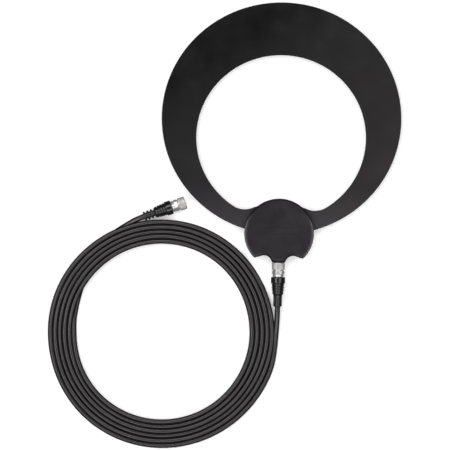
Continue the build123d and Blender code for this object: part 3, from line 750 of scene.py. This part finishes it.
def make_front_cover():
    """The front shell: soft-edged face with a blank engraved plate outline, wall, ceiling and bosses."""
    outline = hub_outline()
    inner, tree = inset_line(outline, EDGE_WIDE)
    hollow, _ = inset_line(outline, COVER_WALL)
    work = bmesh.new()

    def ring(points, height):
        return [work.verts.new(at(p.x, p.y, height)) for p in points]

    def join(low, high):
        count = len(low)
        for i in range(count):
            k = (i + 1) % count
            work.faces.new((low[i], low[k], high[k], high[i]))

    def fill(*loops):
        edges = []
        for loop in loops:
            for i, vertex in enumerate(loop):
                pair = (vertex, loop[(i + 1) % len(loop)])
                edges.append(work.edges.get(pair) or work.edges.new(pair))
        bmesh.ops.triangle_fill(work, use_beauty=True, use_dissolve=False, edges=edges)

    rows = [ring(hollow, COVER_CEILING), ring(hollow, HUB_SEAM), ring(outline, HUB_SEAM)]
    rows.append(ring(outline, HUB_TOP - EDGE_HIGH - LIP_DROP))
    for k in range(1, EDGE_ROWS + 1):
        share = (k / EDGE_ROWS) ** 1.8
        row = []
        for start, end in zip(outline, inner):
            spot = start.lerp(end, share)
            fall = edge_fall(spot, tree.find(spot.to_3d())[2])
            row.append(work.verts.new(at(spot.x, spot.y, HUB_TOP - fall)))
        rows.append(row)
    for low, high in zip(rows, rows[1:]):
        join(low, high)
    fill(rows[0])
    bmesh.ops.remove_doubles(work, verts=rows[-1], dist=1e-7)
    face_rim = [v for v in rows[-1] if v.is_valid]
    half, wide = BADGE_LENGTH / 2, BADGE_WIDTH / 2
    line_outer = ring(stadium(half, wide), HUB_TOP)
    floor_outer = ring(stadium(half - 0.08, wide - 0.08), HUB_TOP - BADGE_DEPTH)
    floor_inner = ring(stadium(half - BADGE_LINE + 0.08, wide - BADGE_LINE + 0.08), HUB_TOP - BADGE_DEPTH)
    line_inner = ring(stadium(half - BADGE_LINE, wide - BADGE_LINE), HUB_TOP)
    fill(face_rim, line_outer)
    join(line_outer, floor_outer)
    join(floor_outer, floor_inner)
    join(floor_inner, line_inner)
    fill(line_inner)
    mesh = bpy.data.meshes.new("hub_front_cover")
    tube = [(BOSS_END, BOSS_BORE), (BOSS_END, BOSS_RADIUS)]
    tube += [(COVER_CEILING, BOSS_RADIUS), (COVER_CEILING, BOSS_BORE)]
    for x, y in BOSS_SEATS:
        boss = turned("boss", seat(at(x, y, 0), Vector((0, 0, 1))), tube, 24)
        work.from_mesh(boss.data)
        bpy.data.objects.remove(boss)
    work.to_mesh(mesh)
    work.free()
    tidy_mesh(mesh, 32)
    cover = bpy.data.objects.new("hub_front_cover", mesh)
    bpy.context.collection.objects.link(cover)
    mesh.materials.append(materials["housing"])
    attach(cover, "antenna_head")
    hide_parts("front_cover")


make_front_cover()

# ---------------------------------------------------------------------- jack

JACK_RADIUS, JACK_ROOT, JACK_BORE = 4.75, 4.32, 3.2
JACK_SHOULDER = -141.8
JACK_BARREL = 10.1
FLANGE_WIDE, FLANGE_DEEP, FLANGE_HIGH = 12.6, 2.0, 10.2


def make_jack(place):
    """The threaded barrel and, behind it, the flange and the legs that hold the board."""
    rows = [(-FLANGE_DEEP, JACK_BORE), (-FLANGE_DEEP, 4.4), (0.0, 4.4)]
    rows += [(0.0, JACK_RADIUS), (0.7, JACK_RADIUS)]
    rows += [(d, threaded(d, JACK_RADIUS, JACK_ROOT)) for d in steps(0.75, 9.6, 90)]
    rows += [(9.65, 4.45), (JACK_BARREL, 4.1), (JACK_BARREL, JACK_BORE)]
    barrel = turned("jack_threaded_barrel", place, rows, 64)
    work = bmesh.new()
    work.from_mesh(barrel.data)
    blocks = [((0, 0, -FLANGE_DEEP / 2), (FLANGE_HIGH, FLANGE_WIDE, FLANGE_DEEP))]
    legs = [(up, out) for up in (0.25, -2.95) for out in (-5.4, 5.4)]
    blocks += [((up, out, -5.6), (2.0, 1.2, 7.2)) for up, out in legs]
    for middle, size in blocks:
        made = bmesh.ops.create_cube(work, size=1)["verts"]
        shape = Matrix.Translation(Vector(middle) * MM) @ Matrix.Diagonal((*(v * MM for v in size), 1))
        bmesh.ops.transform(work, matrix=place @ shape, verts=made)
        edges = {edge for vertex in made for edge in vertex.link_edges}
        bmesh.ops.bevel(work, geom=list(edges), offset=0.2 * MM, segments=2, affect="EDGES")
    work.to_mesh(barrel.data)
    work.free()
    barrel.data.materials.append(materials["nickel"])
    return barrel


jack = make_jack(seat(at(0, JACK_SHOULDER, JACK_AXIS), Vector((0, -1, 0))))
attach(jack, "antenna_head")
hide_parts("jack_body")

# -------------------------------------------------------------- stage, light

PAPER_Z = -2e-4  # a little under the faces that rest on it
PAPER_HALF = 6.0


def make_floor():
    """A plain white paper sheet."""
    mesh = bpy.data.meshes.new("floor")
    signs = [(-1, -1), (1, -1), (1, 1), (-1, 1)]
    corners = [(x * PAPER_HALF, y * PAPER_HALF, PAPER_Z) for x, y in signs]
    mesh.from_pydata(corners, [], [(0, 1, 2, 3)])
    floor = bpy.data.objects.new("floor", mesh)
    bpy.context.collection.objects.link(floor)
    r = Recipe("floor")
    r.set(Base_Color=(0.86, 0.86, 0.86, 1), Roughness=0.95, Specular_IOR_Level=0.2)
    r.set(Emission_Color=(1, 1, 1, 1), Emission_Strength=0.25)
    mesh.materials.append(r.material)
    floor.visible_glossy = False  # black gloss keeps dark edges on the bright paper


SOFTBOXES, SOFTBOX_POWER = 8, 7.6
SOFTBOX_LEAN, SOFTBOX_AWAY = math.radians(35), 1.9  # from straight up, and from the object's middle
SOFTBOX_LONG, SOFTBOX_WIDE = 0.92, 0.8
BRIGHT_SIDE, BRIGHT_SHARE = math.radians(150), 0.22  # the side where the ring is a little stronger


def softbox(name, turn, power):
    """One panel of the ring of light round the camera."""
    data = bpy.data.lights.new(name, "AREA")
    data.shape = "RECTANGLE"
    data.size, data.size_y = SOFTBOX_LONG, SOFTBOX_WIDE
    data.energy = power
    light = bpy.data.objects.new(name, data)
    flat = math.sin(SOFTBOX_LEAN) * SOFTBOX_AWAY
    offset = Vector((math.cos(turn) * flat, math.sin(turn) * flat, math.cos(SOFTBOX_LEAN) * SOFTBOX_AWAY))
    light.location = VIEW_CENTRE + offset
    light.rotation_euler = (-offset).to_track_quat("-Z", "Y").to_euler()
    light.visible_camera = False
    bpy.context.collection.objects.link(light)


def make_world():
    """A studio that is nearly dark, so that black gloss stays black, behind a pale backdrop."""
    world = bpy.data.worlds.new("world")
    bpy.context.scene.world = world
    world.use_nodes = True
    tree = world.node_tree
    seen = tree.nodes.new("ShaderNodeLightPath")
    strength = tree.nodes.new("ShaderNodeMapRange")
    strength.inputs["To Min"].default_value = 0.05
    strength.inputs["To Max"].default_value = 0.85
    tree.links.new(seen.outputs["Is Camera Ray"], strength.inputs["Value"])
    tree.links.new(strength.outputs["Result"], tree.nodes["Background"].inputs["Strength"])
    tree.nodes["Background"].inputs["Color"].default_value = (1, 1, 1, 1)


make_floor()
make_world()
for i in range(SOFTBOXES):
    turn = 2 * math.pi * i / SOFTBOXES
    strength = 1 + BRIGHT_SHARE * math.cos(turn - BRIGHT_SIDE)
    softbox(f"softbox_{i}", turn, SOFTBOX_POWER * strength)
bpy.context.scene.view_settings.view_transform = "Standard"
